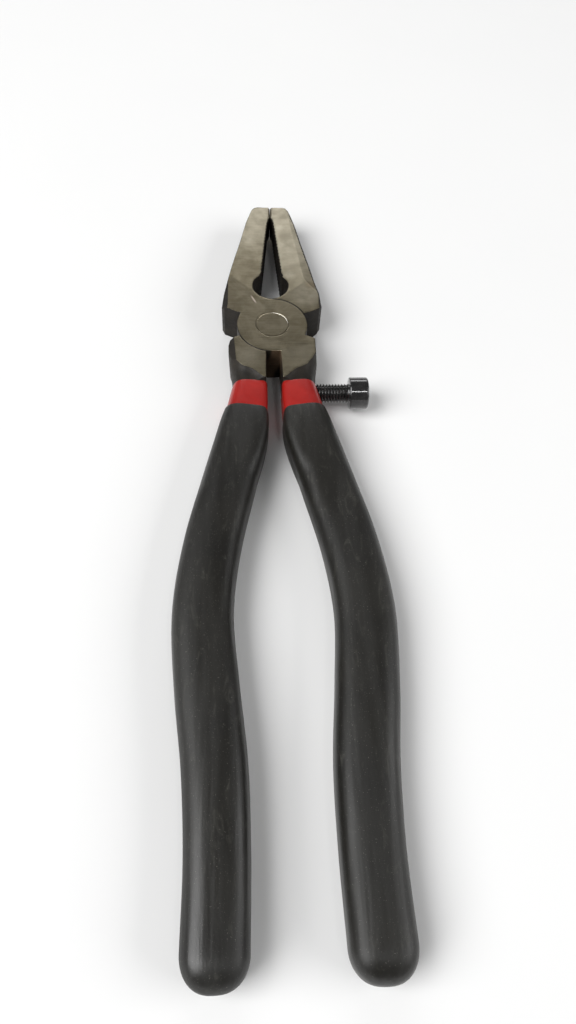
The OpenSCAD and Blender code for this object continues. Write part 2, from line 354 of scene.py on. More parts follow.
def inner_square(y):
    """The exponent of the handle's section on its inner side, squarer near the head."""
    share = np.clip((y - SQUARE_END) / (SQUARE_START - SQUARE_END), 0, 1)
    return SQUARENESS + (INNER_SQUARENESS - SQUARENESS) * share


def tang_field(x, y, z):
    """The forged handle inside its dips."""
    m = slope(y)
    offset = x - along(CENTRE_X, y)
    across = np.abs(offset) / np.sqrt(1 + m * m) / (along(CENTRE_W, y) / 2)
    n = np.where(offset < 0, inner_square(y), SQUARENESS)
    ring = (across**n + np.abs(z / (TANG_T / 2)) ** n) ** (1 / n)
    end_y = -(HANDLE_LEN - UNDER_DIP - OVER_DIP) + END_LEN
    beyond_end = np.maximum(end_y - y, 0) / END_LEN
    body = (np.hypot(ring, beyond_end) - 1) * TANG_T / 2
    return np.maximum(body, y - START_Y)


def lever_field(x, y, z, lean, gap):
    """A whole lever with its disc in the top half, its jaw at -X and its handle at +X."""
    r = np.hypot(x, y)
    disc = rounded_max(np.maximum(r - DISC_R, FACE_GAP / 2 - z), z - MID_Z, FINE_EDGE)
    neck = rounded_min(neck_field(x, y, z), tang_field(x, y, z), TANG_FILLET)
    jaw = rounded_max(jaw_field(x, y, z, lean), HOLE_R - np.hypot(x, y - HOLE_Y), EDGE)
    seat = np.maximum(r - SEAT_R, z - FACE_GAP / 2)
    outer = rounded_max(np.minimum(jaw, neck), -seat, FINE_EDGE)
    lever = np.minimum(outer, disc)
    half_slot = SLOT_W / 2 + (SLOT_MOUTH_W - SLOT_W) / 2 * (-SLOT_Y - y) / (UNDER_DIP_Y - SLOT_Y)
    slot = np.maximum(np.maximum(np.abs(x) - half_slot, y + SLOT_Y), -UNDER_DIP_Y - PAST - y)
    slot_edge = SLIGHT_EDGE + (EDGE - SLIGHT_EDGE) * step_up(*SLOT_EDGE_RUN, np.abs(z))
    lever = rounded_max(lever, -slot, slot_edge)
    heads = np.maximum(r - RIVET_HEAD_R - gap, MID_Z - RIVET_HEAD_T - gap - np.abs(z))
    hole = np.minimum(r - SHANK_R - gap, heads)
    return rounded_max(lever, -hole, HAIR_EDGE)


def front_lever_field(x, y, z):
    """The front lever also has the stop screw's hole."""
    hole = np.maximum(np.hypot(y + SCREW_Y, z) - SCREW_R - PIN_GAP, -x)
    return np.maximum(lever_field(x, y, z, -JAW_LEAN, 0), -hole)


def back_lever_field(x, y, z):
    """The back lever before it is turned over, with a running fit on the rivet."""
    return lever_field(x, y, z, JAW_LEAN, PIN_GAP)


# ---------------------------------------------------------------- meshes from fields

def crossings(values, axes, axis):
    """Where a field changes sign along one axis: lower grid indices, points, and which start inside."""
    low = [slice(None)] * 3
    high = [slice(None)] * 3
    low[axis], high[axis] = slice(None, -1), slice(1, None)
    a, b = values[tuple(low)], values[tuple(high)]
    index = np.argwhere((a < 0) != (b < 0))
    fa, fb = a[tuple(index.T)], b[tuple(index.T)]
    points = np.stack([axes[k][index[:, k]] for k in range(3)], axis=1)
    step = axes[axis][index[:, axis] + 1] - axes[axis][index[:, axis]]
    points[:, axis] += step * fa / (fa - fb)
    return index, points, fa < 0


def gradients(field, points):
    """Unit normals of the field at points, from its differences over a short way."""
    normal = np.empty_like(points)
    for k in range(3):
        d = np.zeros(3)
        d[k] = SLOPE_STEP
        normal[:, k] = field(*(points + d).T) - field(*(points - d).T)
    return normal / np.maximum(np.linalg.norm(normal, axis=1, keepdims=True), 1e-9)


def contour(field, axes):
    """Dual contouring: one vertex in each grid cell that the surface passes, which keeps edges sharp.

    A vertex is the point nearest to the planes through its cell's crossings. For each cell, total sums the
    six products of the normals, the normals times their planes' offsets, the crossings, and their number.
    """
    x, y, z = axes
    values = field(x[:, None, None], y[None, :, None], z[None, None, :])
    cells = np.array([len(a) - 1 for a in axes])
    stride = np.array([cells[1] * cells[2], cells[2], 1])
    quads, owners, sums = [], [], []
    for axis in range(3):
        index, points, leaving = crossings(values, axes, axis)
        u, v = (axis + 1) % 3, (axis + 2) % 3
        keep = ((index[:, u] > 0) & (index[:, u] < cells[u]) & (index[:, v] > 0) & (index[:, v] < cells[v]))
        index, points, leaving = index[keep], points[keep], leaving[keep]
        normal = gradients(field, points)
        around = []
        for du, dv in ((1, 1), (0, 1), (0, 0), (1, 0)):
            cell = index.copy()
            cell[:, u] -= du
            cell[:, v] -= dv
            around.append(cell @ stride)
        around = np.stack(around, axis=1)
        quads.append(np.where(leaving[:, None], around, around[:, ::-1]))
        plane = np.sum(normal * points, axis=1)
        pair = [normal[:, i] * normal[:, j] for i, j in ((0, 0), (0, 1), (0, 2), (1, 1), (1, 2), (2, 2))]
        columns = np.stack(pair + [normal[:, i] * plane for i in range(3)]
                           + [points[:, i] for i in range(3)] + [np.ones(len(points))], axis=1)
        for cell in around.T:
            owners.append(cell)
            sums.append(columns)
    quads = np.concatenate(quads)
    used, place = np.unique(np.concatenate(owners), return_inverse=True)
    columns = np.concatenate(sums)
    total = np.stack([np.bincount(place, column, len(used)) for column in columns.T], axis=1)
    centre = total[:, 9:12] / total[:, 12:13]
    matrix = total[:, [0, 1, 2, 1, 3, 4, 2, 4, 5]].reshape(-1, 3, 3)
    wanted = total[:, 6:9] - np.einsum("nij,nj->ni", matrix, centre)
    shift = np.linalg.solve(matrix + CENTRE_PULL * np.eye(3), wanted[:, :, None])[:, :, 0]
    corner = np.stack([axes[k][(used // stride[k]) % cells[k]] for k in range(3)], axis=1)
    size = np.stack([np.diff(axes[k])[(used // stride[k]) % cells[k]] for k in range(3)], axis=1)
    vertices = np.clip(centre + shift, corner, corner + size)
    return vertices, np.searchsorted(used, quads)


def grid_axes(fine):
    """The grid's lines along X, Y and Z."""
    x = np.arange(*GRID_X, fine) + GRID_SHIFT[0]
    y = np.concatenate([np.linspace(*COARSE_Y), np.arange(*FINE_Y, fine) + GRID_SHIFT[1]])
    z = np.arange(*GRID_Z, fine) + GRID_SHIFT[2]
    return x, y, z


# ---------------------------------------------------------------- Blender objects

def add_mesh(name, vertices, faces, material):
    """A smooth-shaded object from vertices in millimetres."""
    mesh = bpy.data.meshes.new(name)
    mesh.from_pydata((np.asarray(vertices) * MM).tolist(), [], [tuple(int(i) for i in f) for f in faces])
    mesh.materials.append(material)
    mesh.polygons.foreach_set("use_smooth", [True] * len(mesh.polygons))
    mesh.update()
    obj = bpy.data.objects.new(name, mesh)
    bpy.context.scene.collection.objects.link(obj)
    return obj


def ground_share(vertices, lean):
    """1 where a lever was ground bright, 0 where it keeps the black oxide, and 0.5 on the line between."""
    x, y, z = vertices.T
    u, v = in_jaw(x, y, lean)
    face = np.where(y > 0, ground_depth(u, v, z), 0)
    lips = (v > JAW_LEN - LIP_LEN) * np.clip(LIP_CHAMFER - u, 0, LIP_CHAMFER)
    share = 1 - (MID_Z - np.abs(z) - face - lips) / (2 * GROUND_RIM)
    edge_x, edge_y = np.array(JAW_EDGE).T
    from_edge = np.interp(v, edge_y, edge_x) - u
    dark_rim = (z < 0) * (v > edge_y[0]) * (u > 0)
    share = np.where(dark_rim, np.minimum(share, (from_edge - DARK_RIM) / (2 * GROUND_RIM) + 0.5), share)
    return np.clip(share, 0, 1)


def add_lever(name, node, field, lean, turned, material):
    """A lever from its field; the back lever is the same forging turned half round the tool's length."""
    vertices, quads = contour(field, grid_axes(GRID))
    share = ground_share(vertices, lean)
    if turned:
        vertices = vertices * [-1, 1, -1]
    obj = add_mesh(name, kept_inside(vertices + [0, 0, MID_Z], node), quads, material)
    obj.data.attributes.new("ground", "FLOAT", "POINT").data.foreach_set("value", share.astype(np.float32))
    return obj


def stitched(rings):
    """Quads between rings of equal length, with a fan to a middle point at each end."""
    count = len(rings[0])
    vertices = [p for ring in rings for p in ring]
    faces = []
    for i in range(len(rings) - 1):
        for j in range(count):
            k = (j + 1) % count
            faces.append((i * count + j, i * count + k, (i + 1) * count + k, (i + 1) * count + j))
    start, end = len(vertices), len(vertices) + 1
    last = (len(rings) - 1) * count
    vertices += [np.mean(rings[0], axis=0), np.mean(rings[-1], axis=0)]
    faces += [(start, (j + 1) % count, j) for j in range(count)]
    faces += [(end, last + j, last + (j + 1) % count) for j in range(count)]
    return np.array(vertices), faces


def dip_ring(y, side, face, scale, dip):
    """One section of a dip. Near the dip's upper edge it leans down towards the handle's two sides."""
    q = np.linspace(0, 2 * math.pi, DIP_SIDES, endpoint=False)
    inner = dip["inner_drop"] * np.clip(-np.cos(q), 0, 1) ** 3
    outer = dip["outer_drop"] * np.clip(np.cos(q), 0, 1) ** 3
    y = y - (inner + outer) * math.exp(min(y - dip["edge_y"], 0) / DROP_FADE)
    power = 2 / np.where(np.cos(q) < 0, inner_square(y), SQUARENESS)
    across = (along(CENTRE_W, y) / 2 + side) * scale * np.sign(np.cos(q)) * np.abs(np.cos(q)) ** power
    high = (TANG_T / 2 + face) * scale * np.sign(np.sin(q)) * np.abs(np.sin(q)) ** power
    m = slope(y)
    run = np.sqrt(1 + m * m)
    return np.stack([along(CENTRE_X, y) + across / run, y - m * across / run, MID_Z + high], axis=1)


def dip_skin(dip, end_y, side, face, thin):
    """Sections of one skin from the upper edge to the rounded end. It is thinner towards the edge."""
    straight = end_y + END_LEN
    near = NEAR_RUN * np.linspace(0, 1, NEAR_SECTIONS) ** NEAR_CROWDING
    far = np.linspace(FAR_START, dip["edge_y"] - straight, FAR_SECTIONS)
    rings = []
    for d in np.concatenate([near, far]):
        lack = thin * math.exp(-d / THIN_FADE)
        rings.append(dip_ring(dip["edge_y"] - d, side - lack, face - lack, 1, dip))
    for turn in np.linspace(0, END_TURN, END_SECTIONS)[1:]:
        q = math.radians(turn)
        scale = math.cos(q) ** END_BLUNTNESS
        rings.append(dip_ring(straight - END_LEN * math.sin(q), side, face, scale, dip))
    return rings


def add_dip(name, node, dip, mirrored, material):
    """A dip as a closed shell: an inner skin on the layer below, a rounded upper lip and an outer skin."""
    below = dip["under"] - SKIN_BITE
    inside = dip_skin(dip, dip["end_y"] + dip["side"] - dip["under"], below, below, 0)[::-1]
    outside = dip_skin(dip, dip["end_y"], dip["side"], dip["face"], dip["thin"])
    lip = []
    for turn in DIP_LIP_TURNS:
        q = math.radians(turn)
        side, face = (below + (dip[k] - dip["thin"] - below) * math.sin(q) for k in ("side", "face"))
        lip.append(dip_ring(dip["edge_y"] + DIP_LIP * math.cos(q), side, face, 1, dip))
    vertices, faces = stitched(inside + lip + outside)
    if mirrored:
        vertices = vertices * [-1, 1, 1]
        faces = [f[::-1] for f in faces]
    return add_mesh(name, kept_inside(vertices, node), faces, material)


def turned_rings(profile, sides):
    """Rings of a turned part along +X from (position, radius) pairs. A radius may depend on the angle."""
    q = np.linspace(0, 2 * math.pi, sides, endpoint=False)
    rings = []
    for position, radius in profile:
        r = radius(q) if callable(radius) else np.full(sides, float(radius))
        rings.append(np.stack([np.full(sides, float(position)), r * np.cos(q), r * np.sin(q)], axis=1))
    return rings


def cut_round(obj, radius, start, end):
    """Cuts a round hole along X through an object, at the stop screw's height."""
    vertices, faces = stitched(turned_rings([(start, radius), (end, radius)], ROUND_SIDES))
    cutter = add_mesh("cutter", vertices + [0, -SCREW_Y, MID_Z], faces, obj.data.materials[0])
    modifier = obj.modifiers.new("hole", "BOOLEAN")
    modifier.object = cutter
    modifier.operation = "DIFFERENCE"
    graph = bpy.context.evaluated_depsgraph_get()
    cut = bpy.data.meshes.new_from_object(obj.evaluated_get(graph))
    obj.modifiers.remove(modifier)
    obj.data = cut
    bpy.data.objects.remove(cutter)
    obj.data.set_sharp_from_angle(angle=math.radians(SHARP))


def thread_radius(position, turn):
    """Radius of the thread at a distance from the screw's tip, at an angle."""
    depth = THREAD_DEPTH * SCREW_PITCH
    phase = (position / SCREW_PITCH - turn / (2 * math.pi)) % 1
    ridge = np.clip(THREAD_FLANK / 2 - THREAD_FLANK * np.abs(phase - 0.5), 0, 1)
    cut = np.clip((SCREW_LEN - position) / RUN_OUT, 0, 1)
    return np.minimum(SCREW_R - CREST_GAP - depth * (1 - ridge) * cut, SCREW_R - TIP_CHAMFER + position)


def hexagon(across_flats):
    """Radius of a hexagon at an angle, with a flat towards +Y."""
    return lambda q: across_flats / 2 / np.cos((q + math.pi / 6) % (math.pi / 3) - math.pi / 6)


def add_screw(name, material):
    """The stop screw, from its tip along its helical thread to its head and down into its socket."""
    top = SCREW_LEN + SCREW_HEAD_T
    profile = [(0, TIP_R)]
    for position in np.arange(THREAD_STEP / 2, SCREW_LEN, THREAD_STEP):
        profile.append((position, lambda q, p=position: thread_radius(p, q)))
    profile.append((SCREW_LEN, SCREW_R))
    profile += [(SCREW_LEN + up, SCREW_HEAD_R - back) for up, back in SCREW_FOOT]
    profile.append((top - SCREW_EDGE_GUARD, SCREW_HEAD_R))
    for i in range(SCREW_EDGE_STEPS + 1):
        q = 0.5 * math.pi * i / SCREW_EDGE_STEPS
        profile.append((top - SCREW_EDGE + SCREW_EDGE * math.sin(q),
                        SCREW_HEAD_R - SCREW_EDGE + SCREW_EDGE * math.cos(q)))
    profile += [(top, SOCKET_FACE_R), (top, hexagon(SOCKET_AF + 2 * SOCKET_CHAMFER))]
    profile += [(top - depth, hexagon(SOCKET_AF)) for depth in SOCKET_RINGS]
    profile += [(top - depth, radius) for depth, radius in SOCKET_POINT]
    vertices, faces = stitched(turned_rings(profile, ROUND_SIDES))
    place = np.array([SCREW_X - SCREW_LEN, -SCREW_Y, MID_Z])
    obj = add_mesh(name, vertices + place, faces, material)
    obj.data.set_sharp_from_angle(angle=math.radians(SCREW_SHARP))
    return obj


def add_rivet(name, material):
    """The rivet, with a fine broken edge round each flush head."""
    foot = MID_Z - RIVET_HEAD_T
    half = [(0.0, SHANK_R), (foot, SHANK_R), (foot, RIVET_HEAD_R - RIVET_FOOT),
            (foot + RIVET_FOOT, RIVET_HEAD_R), (MID_Z - RIVET_BREAK[0], RIVET_HEAD_R)]
    half += [(MID_Z, r) for r in RIVET_RINGS]
    profile = [(-z, r) for z, r in half[:0:-1]] + half
    vertices, faces = stitched(turned_rings(profile, RIVET_SIDES))
    upright = vertices[:, [1, 2, 0]] + [0, 0, MID_Z]
    obj = add_mesh(name, upright, faces, material)
    obj.data.set_sharp_from_angle(angle=math.radians(SHARP))
    return obj


# ---------------------------------------------------------------- materials

# A disc's edge shows only where x times y times the height above the middle is positive. These are the
# products, in cubic millimetres, between which its line fades in
JOINT_SIDE = (5.0, 40.0)
# Distances off that line, in millimetres, between which its oil fades out
OIL_LINE = (0.12, 0.32)
# Radius, in millimetres, of the lighter, browner patch on the oxide round the slot's upper end
SLOT_PATCH_R = 6.0


class Finish:
    """A material under construction. Its methods add nodes and return their output sockets."""

    def __init__(self, name, **settings):
        self.material = bpy.data.materials.new(name)
        self.material.use_nodes = True
        self.tree = self.material.node_tree
        self.shader = self.tree.nodes["Principled BSDF"]
        for socket, value in settings.items():
            self.put(self.shader.inputs[socket.replace("_", " ").title().replace("Ior", "IOR")], value)
        self.place = self.tree.nodes.new("ShaderNodeTexCoord").outputs["Object"]

    def put(self, socket, value):
        if isinstance(value, bpy.types.NodeSocket):
            self.tree.links.new(value, socket)
        else:
            socket.default_value = value

    def node(self, kind, inputs, output=0, **settings):
        made = self.tree.nodes.new(kind)
        for key, value in settings.items():
            setattr(made, key, value)
        for key, value in inputs.items():
            self.put(made.inputs[key], value)
        return made.outputs[output]

    def math(self, operation, a, b=0.0):
        return self.node("ShaderNodeMath", {0: a, 1: b}, operation=operation)

    def noise(self, per_metre, detail=3.0, roughness=0.55, stretch=(1, 1, 1), distortion=0.0):
        """Noise with about per_metre features in a metre, times stretch along each axis."""
        scale = tuple(per_metre * k for k in stretch)
        at = self.node("ShaderNodeMapping", {"Vector": self.place, "Scale": scale})
        return self.node("ShaderNodeTexNoise", {"Vector": at, "Scale": 1.0, "Detail": detail,
                                                "Roughness": roughness, "Distortion": distortion})

    def grinding(self):
        """Coarse and fine lines across the tool, from grinding its faces."""
        grain = self.noise(900, 2.0, 0.5, stretch=(0.12, 2.4, 1.0))
        fine = self.noise(2600, 2.0, 0.6, stretch=(0.06, 1.6, 1.0))
        return grain, fine

    def spread(self, value, low, high, to_low=0.0, to_high=1.0):
        """Stretches low..high to to_low..to_high, smoothly, and holds it there."""
        return self.node("ShaderNodeMapRange", {"Value": value, "From Min": low, "From Max": high,
                                                "To Min": to_low, "To Max": to_high},
                         interpolation_type="SMOOTHSTEP")

    def mix(self, share, a, b):
        """Colours a and b mixed, all b where share is 1."""
        return self.node("ShaderNodeMix", {"Factor": share, 6: a, 7: b}, output=2, data_type="RGBA")

    def blend(self, share, a, b):
        """Numbers a and b mixed, all b where share is 1."""
        return self.node("ShaderNodeMix", {"Factor": share, 2: a, 3: b}, data_type="FLOAT")

    def bump(self, height, depth_mm, below=None):
        inputs = {"Height": height, "Distance": depth_mm * MM, "Strength": 1.0}
        if below is not None:
            inputs["Normal"] = below
        return self.node("ShaderNodeBump", inputs)

    def plan(self):
        """The surface's own X and Y, in metres."""
        return self.axes()[:2]

    def axes(self):
        """The surface's own X, Y and Z, in metres."""
        x = self.node("ShaderNodeSeparateXYZ", {"Vector": self.place}, output="X")
        return x, x.node.outputs["Y"], x.node.outputs["Z"]

    def from_pivot(self):
        """Distance from the pivot's axis, in metres."""
        x, y = self.plan()
        return self.math("SQRT", self.math("ADD", self.math("MULTIPLY", x, x), self.math("MULTIPLY", y, y)))

    def joint_line(self, full, none):
        """1 where a disc shows its edge in its seat, fading between two distances off it, in millimetres."""
        x, y, z = self.axes()
        off_line = self.math("SUBTRACT", self.from_pivot(), (DISC_R + SEAT_R) / 2 * MM)
        near = self.spread(self.math("ABSOLUTE", off_line), full * MM, none * MM, 1.0, 0.0)
        above_middle = self.math("SUBTRACT", z, MID_Z * MM)
        side = self.math("MULTIPLY", self.math("MULTIPLY", x, y), above_middle)
        return self.math("MULTIPLY", near, self.spread(side, JOINT_SIDE[0] * MM**3, JOINT_SIDE[1] * MM**3))

    def stroke(self, start, end, width):
        """1 on a straight mark between two points in the plan, in millimetres, 0 off it."""
        x, y = self.plan()
        (ax, ay), (bx, by) = start, end
        run = math.hypot(bx - ax, by - ay)
        ex, ey = (bx - ax) / run, (by - ay) / run
        middle = ((ax + bx) / 2, (ay + by) / 2)
        along_it = self.math("ADD", self.math("MULTIPLY", x, ex), self.math("MULTIPLY", y, ey))
        along_it = self.math("SUBTRACT", along_it, (middle[0] * ex + middle[1] * ey) * MM)
        across_it = self.math("SUBTRACT", self.math("MULTIPLY", y, ex), self.math("MULTIPLY", x, ey))
        across_it = self.math("SUBTRACT", across_it, (middle[1] * ex - middle[0] * ey) * MM)
        length = self.spread(self.math("ABSOLUTE", along_it), run * 0.1 * MM, run * 0.5 * MM, 1.0, 0.0)
        breadth = self.spread(self.math("ABSOLUTE", across_it), width * 0.2 * MM, width * 0.5 * MM, 1.0, 0.0)
        return self.math("MULTIPLY", length, breadth)

    def patch(self, centre, radius):
        """1 at a point in the plan, in millimetres, fading to 0 at a radius."""
        x, y = self.plan()
        dx = self.math("SUBTRACT", x, centre[0] * MM)
        dy = self.math("SUBTRACT", y, centre[1] * MM)
        squared = self.math("ADD", self.math("MULTIPLY", dx, dx), self.math("MULTIPLY", dy, dy))
        return self.spread(self.math("SQRT", squared), 0.2 * radius * MM, radius * MM, 1.0, 0.0)

    def edges(self, low, high):
        """1 on outward edges, 0 on flat faces and in corners."""
        pointiness = self.node("ShaderNodeNewGeometry", {}, output="Pointiness")
        return self.spread(pointiness, low, high)


def colour(red, green, blue):
    return (red, green, blue, 1.0)


def lever_steel(name, painted_light_from, painted_light_to, patches, light_streaks):
    """Forged steel: satin ground faces with a ragged edge, black oxide elsewhere, and oil round the disc.

    The ground faces are coloured brighter along the jaw, between the first and the second distance in
    metres: a painted highlight for the brighter light they reflect towards the tips. A patch is a centre, a
    radius, a strength and a colour, and a streak is two ends and a width, painted pale. Their lengths are in
    millimetres.
    """
    m = Finish(name, specular_ior_level=0.25)
    ground = m.node("ShaderNodeAttribute", {}, output="Fac", attribute_name="ground")
    ragged = m.noise(420, 4.0)
    ground = m.math("ADD", ground, m.spread(ragged, 0.2, 0.8, -0.18, 0.18))
    ground = m.spread(ground, 0.6, 0.78)

    blotch = m.noise(170, 5.0, 0.6, distortion=0.6)
    haze = m.noise(330, 4.0, 0.6)
    grain, fine = m.grinding()

    steel = m.mix(m.spread(blotch, 0.32, 0.68), colour(0.145, 0.124, 0.080), colour(0.235, 0.207, 0.145))
    steel = m.mix(m.spread(haze, 0.5, 0.72, 0.0, 0.35), steel, colour(0.13, 0.108, 0.068))
    along_jaw = m.plan()[1]
    # Painted highlight: the ground faces are coloured brighter towards the tips, standing in for the
    # brighter light they reflect there
    bright = m.spread(along_jaw, painted_light_from, painted_light_to)
    bright = m.math("MULTIPLY", bright, m.spread(haze, 0.25, 0.7, 1.0, 0.6))
    steel = m.mix(bright, steel, colour(0.37, 0.338, 0.262))
    steel = m.mix(m.spread(grain, 0.3, 0.7, 0.0, 0.14), steel, colour(0.36, 0.328, 0.248))
    for centre, radius, amount, tint in patches:
        strength = m.spread(haze, 0.3, 0.7, 1.3 * amount, 0.5 * amount)
        steel = m.mix(m.math("MULTIPLY", m.patch(centre, radius), strength), steel, tint)
    # Each streak is a pale line painted on the steel's colour
    for start, end, width in light_streaks:
        steel = m.mix(m.math("MULTIPLY", m.stroke(start, end, width), 0.8), steel, colour(0.72, 0.62, 0.54))

    skin = m.noise(700, 5.0, 0.6)
    soot = m.noise(150, 4.0, 0.6)
    oxide = m.mix(m.spread(soot, 0.35, 0.7), colour(0.012, 0.0105, 0.009), colour(0.026, 0.022, 0.017))
    oxide = m.mix(m.spread(skin, 0.55, 0.78, 0.0, 0.45), oxide, colour(0.050, 0.041, 0.030))
    # A lighter, browner patch on the oxide round the slot's upper end
    oxide = m.mix(m.patch((0.0, -SLOT_Y), SLOT_PATCH_R), oxide, colour(0.11, 0.074, 0.046))

    base = m.mix(ground, oxide, steel)
    oiled = m.joint_line(*OIL_LINE)
    base = m.mix(oiled, base, colour(0.02, 0.017, 0.012))
    bare = m.math("MULTIPLY", ground, m.math("SUBTRACT", 1.0, oiled))
    m.put(m.shader.inputs["Base Color"], base)
    m.put(m.shader.inputs["Metallic"], m.blend(bare, 0.25, 1.0))
    satin = m.spread(haze, 0.25, 0.75, 0.33, 0.45)
    satin = m.math("ADD", satin, m.spread(fine, 0.3, 0.7, -0.04, 0.05))
    m.put(m.shader.inputs["Roughness"], m.blend(bare, m.spread(skin, 0.3, 0.7, 0.42, 0.6), satin))

    lines = m.math("MULTIPLY", m.math("ADD", grain, fine), ground)
    pits = m.math("MULTIPLY", skin, m.math("SUBTRACT", 1.0, ground))
    normal = m.bump(lines, 0.012)
    m.put(m.shader.inputs["Normal"], m.bump(pits, 0.09, normal))
    return m.material


def rivet_steel():
    """The rivet's flush head, ground with the faces round it, with a painted highlight: a bright arc on its
    upper right rim.
    """
    m = Finish("rivet_steel", metallic=1.0)
    blotch = m.noise(210, 4.0, 0.6)
    grain, fine = m.grinding()
    steel = m.mix(m.spread(blotch, 0.35, 0.68), colour(0.160, 0.137, 0.090), colour(0.225, 0.198, 0.139))
    steel = m.mix(m.spread(grain, 0.3, 0.7, 0.0, 0.2), steel, colour(0.32, 0.290, 0.216))
    x, y = m.plan()
    # Painted highlight: a near-white arc on the rim's upper right stands in for a glint off its broken edge
    rim = m.spread(m.from_pivot(), (RIVET_HEAD_R - 0.28) * MM, (RIVET_HEAD_R - 0.1) * MM)
    glint_side = m.spread(m.math("ADD", x, y), 3.8 * MM, 5.6 * MM)
    steel = m.mix(m.math("MULTIPLY", rim, glint_side), steel, colour(0.95, 0.92, 0.84))
    m.put(m.shader.inputs["Base Color"], steel)
    m.put(m.shader.inputs["Roughness"], m.spread(fine, 0.3, 0.7, 0.3, 0.42))
    m.put(m.shader.inputs["Normal"], m.bump(m.math("ADD", grain, fine), 0.01))
    return m.material


def red_vinyl():
    """The first dip: glossy red plastisol, thin and a little uneven."""
    m = Finish("red_vinyl", specular_ior_level=0.35, coat_weight=0.35, coat_roughness=0.14)
    cloud = m.noise(120, 3.0)
    specks = m.noise(1500, 3.0, 0.6)
    red = m.mix(m.spread(cloud, 0.3, 0.7), colour(0.26, 0.007, 0.005), colour(0.35, 0.012, 0.008))
    red = m.mix(m.spread(specks, 0.62, 0.8, 0.0, 0.3), red, colour(0.20, 0.006, 0.005))
    m.put(m.shader.inputs["Base Color"], red)
    m.put(m.shader.inputs["Roughness"], m.spread(specks, 0.3, 0.7, 0.3, 0.42))
    ripple = m.bump(m.noise(260, 2.0), 0.05)
    m.put(m.shader.inputs["Normal"], m.bump(specks, 0.012, ripple))
    return m.material


def black_vinyl():
    """The second dip: near-black plastisol with a fine grain, soft runs along the handle and scuffs."""
    m = Finish("black_vinyl", specular_ior_level=0.5)
    runs = m.noise(210, 3.0, 0.5, stretch=(1.0, 0.1, 1.0))
    cloud = m.noise(70, 4.0, 0.6)
    grain = m.noise(2400, 3.0, 0.6)
    scuffs = m.noise(380, 5.0, 0.65, stretch=(1.0, 0.35, 1.0), distortion=1.2)
    black = m.mix(m.spread(cloud, 0.3, 0.7), colour(0.0075, 0.0070, 0.0058), colour(0.0125, 0.0117, 0.0095))
    black = m.mix(m.spread(scuffs, 0.54, 0.74, 0.0, 0.55), black, colour(0.040, 0.039, 0.032))
    dust = m.noise(4200, 1.0, 0.5)
    black = m.mix(m.spread(dust, 0.70, 0.76, 0.0, 0.7), black, colour(0.13, 0.125, 0.11))
    m.put(m.shader.inputs["Base Color"], black)
    satin = m.math("ADD", m.spread(runs, 0.35, 0.65, 0.34, 0.52), m.spread(scuffs, 0.6, 0.8, 0.0, 0.12))
    m.put(m.shader.inputs["Roughness"], satin)
    swell = m.bump(runs, 0.36)
    m.put(m.shader.inputs["Normal"], m.bump(grain, 0.02, swell))
    return m.material


def screw_black():
    """Black oxide on the stop screw, worn a little on its edges."""
    m = Finish("screw_black", metallic=0.35, coat_weight=1.0, coat_roughness=0.06)
    soot = m.noise(500, 4.0, 0.6)
    fine = m.noise(3500, 2.0, 0.6)
    worn = m.math("MULTIPLY", m.edges(0.54, 0.64), m.spread(soot, 0.35, 0.7, 0.0, 0.5))
    black = m.mix(m.spread(soot, 0.35, 0.7), colour(0.012, 0.012, 0.012), colour(0.028, 0.027, 0.026))
    m.put(m.shader.inputs["Base Color"], m.mix(worn, black, colour(0.16, 0.155, 0.14)))
    m.put(m.shader.inputs["Roughness"], m.spread(fine, 0.3, 0.7, 0.18, 0.3))
    m.put(m.shader.inputs["Normal"], m.bump(fine, 0.006))
    return m.material


def floor_paper():
    """Pale paper with a faint unevenness."""
    m = Finish("floor_paper", specular_ior_level=0.2)
    cloud = m.noise(9, 3.0)
    m.put(m.shader.inputs["Base Color"], m.mix(cloud, colour(0.80, 0.80, 0.80), colour(0.84, 0.84, 0.835)))
    m.put(m.shader.inputs["Roughness"], m.spread(m.noise(600, 2.0), 0.3, 0.7, 0.75, 0.9))
    return m.material


# ---------------------------------------------------------------- camera, floor and light

# Where the camera is, what it looks at, how many degrees it is rolled, its lens, and its near clip in metres
EYE = Vector((-9.589, -156.229, 171.564)) * MM
AIM = Vector((1.65, -59.83, HEAD_T)) * MM
ROLL = 4.8
LENS = 28.125
SENSOR = 36.0
CLIP_START = 0.01
# Half the floor's side, and how far it lies under the tool, in millimetres
FLOOR_HALF = 8000.0
FLOOR_GAP = 0.02
# The sky's strength, and in metres the point that the lights face, and each light's name, place, width and
# height, with its watts
SKY = 0.14
LIT = (0.0, -0.05, 0.0)
SOFTBOXES = [
    ("key", (-1.15, -0.45, 1.3), 1.3, 1.3, 37.5),
    ("behind", (0.0, 1.15, 0.62), 0.9, 0.3, 3.2),
    ("fill", (1.3, -0.35, 0.85), 1.2, 0.8, 12.0),
    ("lamp", (0.27, -0.72, 1.33), 0.12, 0.08, 0.8),
]


def add_camera():
    data = bpy.data.cameras.new("camera")
    data.lens = LENS
    data.sensor_width = SENSOR
    data.clip_start = CLIP_START
    camera = bpy.data.objects.new("camera", data)
    bpy.context.scene.collection.objects.link(camera)
    camera.location = EYE
    camera.rotation_mode = "QUATERNION"
    look = (AIM - EYE).to_track_quat("-Z", "Y")
    camera.rotation_quaternion = look @ Quaternion((0, 0, 1), math.radians(ROLL))
    bpy.context.scene.camera = camera


def add_floor():
    corners = [(FLOOR_HALF * x, FLOOR_HALF * y, -FLOOR_GAP) for x, y in ((-1, -1), (1, -1), (1, 1), (-1, 1))]
    floor = add_mesh("floor", corners, [(0, 1, 2, 3)], floor_paper())


